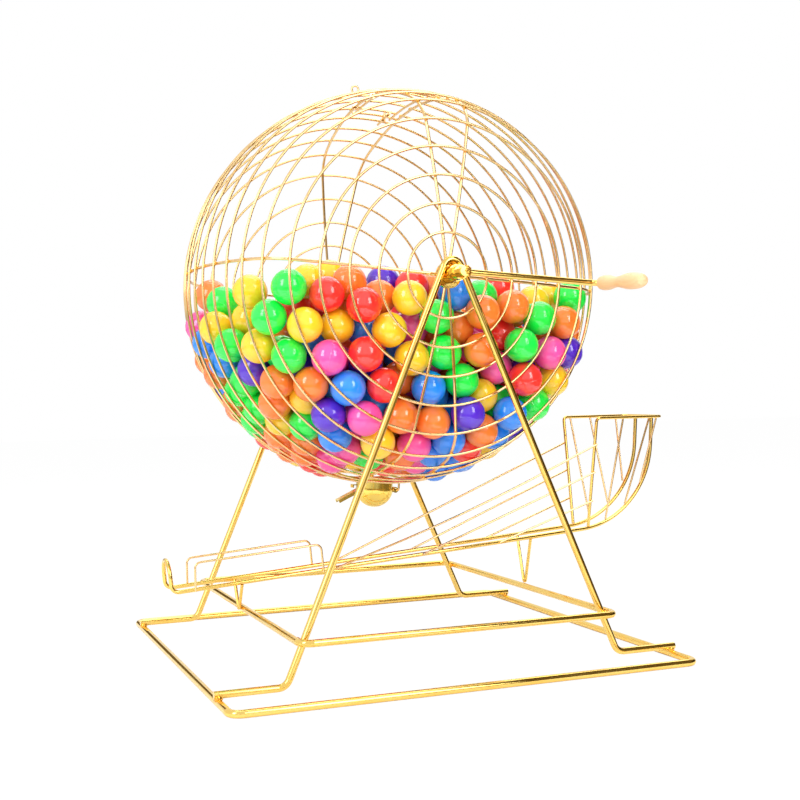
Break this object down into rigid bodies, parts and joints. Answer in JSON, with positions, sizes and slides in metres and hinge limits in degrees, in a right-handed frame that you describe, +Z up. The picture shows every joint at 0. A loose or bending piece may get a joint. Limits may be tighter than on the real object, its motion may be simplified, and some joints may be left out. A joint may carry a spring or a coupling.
{
  "type": "wire raffle cage",
  "caption": "Round wire ball-draw cage with a crank on a rod stand, ball outlet cup, filling door, ball chute and catch basket.",
  "frame": {"origin": "on the floor, under the middle of the base frame and under the axle's middle", "axes": "+Z up, +Y along the axle away from the crank, +X along the front base rod towards the catch basket"},
  "size_m": [0.6639, 0.6262, 0.6901],
  "materials": {
    "gold_rod": "polished gold plating on steel rod",
    "gold_wire": "pale gold plating on steel wire",
    "screw_steel": "dull plated screw steel",
    "wood_grip": "turned pale wood, satin lacquer",
    "orange_ball": "glossy",
    "yellow_ball": "glossy",
    "green_ball": "glossy",
    "red_ball": "glossy",
    "pink_ball": "glossy",
    "blue_ball": "glossy",
    "purple_ball": "glossy"
  },
  "bodies": {
    "stand": {"base_frame": "gold_rod", "front_a_frame": "gold_rod", "rear_a_frame": "gold_rod", "raised_frame": "gold_rod", "front_bearing_sleeve": "gold_rod", "rear_bearing_sleeve": "gold_rod", "chute_rail_rod": "gold_rod", "front_guard_hoop": "gold_wire", "rear_guard_hoop": "gold_wire", "left_prop": "gold_rod", "right_prop": "gold_rod", "front_side_wires": "gold_wire", "rear_side_wires": "gold_wire", "basket_rim": "gold_rod", "front_basket_ribs": "gold_wire", "rear_basket_ribs": "gold_wire", "orange_balls": "orange_ball", "yellow_balls": "yellow_ball", "green_balls": "green_ball", "red_balls": "red_ball", "pink_balls": "pink_ball", "blue_balls": "blue_ball", "purple_balls": "purple_ball"},
    "cage": {"front_axle": "gold_rod", "rear_axle": "gold_rod", "front_hub_plate": "gold_rod", "rear_hub_plate": "gold_rod", "axle_washers": "gold_wire", "front_dome_rings": "gold_wire", "rear_dome_rings": "gold_wire", "front_shoulder_rings": "gold_wire", "rear_shoulder_rings": "gold_wire", "front_barrel_rings": "gold_wire", "rear_barrel_rings": "gold_wire", "door_side_rings": "gold_wire", "outlet_rings": "gold_wire", "door_rib_left": "gold_wire", "door_rib_right": "gold_wire", "left_rib": "gold_wire", "right_rib": "gold_wire", "outlet_rib_left": "gold_wire", "outlet_rib_right": "gold_wire", "outlet_collar": "gold_rod", "outlet_hinge_wire": "gold_rod", "outlet_stop": "gold_rod", "door_stay_loop": "gold_rod", "crank_boss": "gold_rod", "crank_rod": "gold_rod", "rear_collar": "gold_rod", "set_screws": "screw_steel", "grip_washer": "gold_wire", "grip_screw": "screw_steel"},
    "filling_door": {"door_frame": "gold_wire", "door_hinge_eyes": "gold_rod", "bolt_guides": "gold_rod"},
    "door_latch": {"door_bolt": "gold_rod"},
    "outlet_gate": {"outlet_cup": "gold_rod", "release_lever": "gold_rod"},
    "crank_grip": {"wooden_grip": "wood_grip", "grip_button": "wood_grip"}
  },
  "joints": [
    {"name": "cage_spin", "type": "hinge", "parent": "stand", "child": "cage", "pos_m": [0, 0, 0.446], "axis": [0, 1, 0], "continuous": true},
    {"name": "grip_spin", "type": "hinge", "parent": "cage", "child": "crank_grip", "pos_m": [0.16567, -0.24902, 0.43558], "axis": [-0.0033, -0.9986, -0.0522], "continuous": true},
    {"name": "door_hinge", "type": "hinge", "parent": "cage", "child": "filling_door", "pos_m": [-0.01946, 0, 0.68266], "axis": [0, -1, 0], "range_deg": [0, 98]},
    {"name": "bolt_slide", "type": "slide", "parent": "filling_door", "child": "door_latch", "axis": [0.018, -0.9907, 0.1345], "range_m": [0, 0.0085]},
    {"name": "outlet_hinge", "type": "hinge", "parent": "cage", "child": "outlet_gate", "pos_m": [0.0108, 0, 0.19403], "axis": [0, -1, 0], "range_deg": [0, 75]}
  ]
}
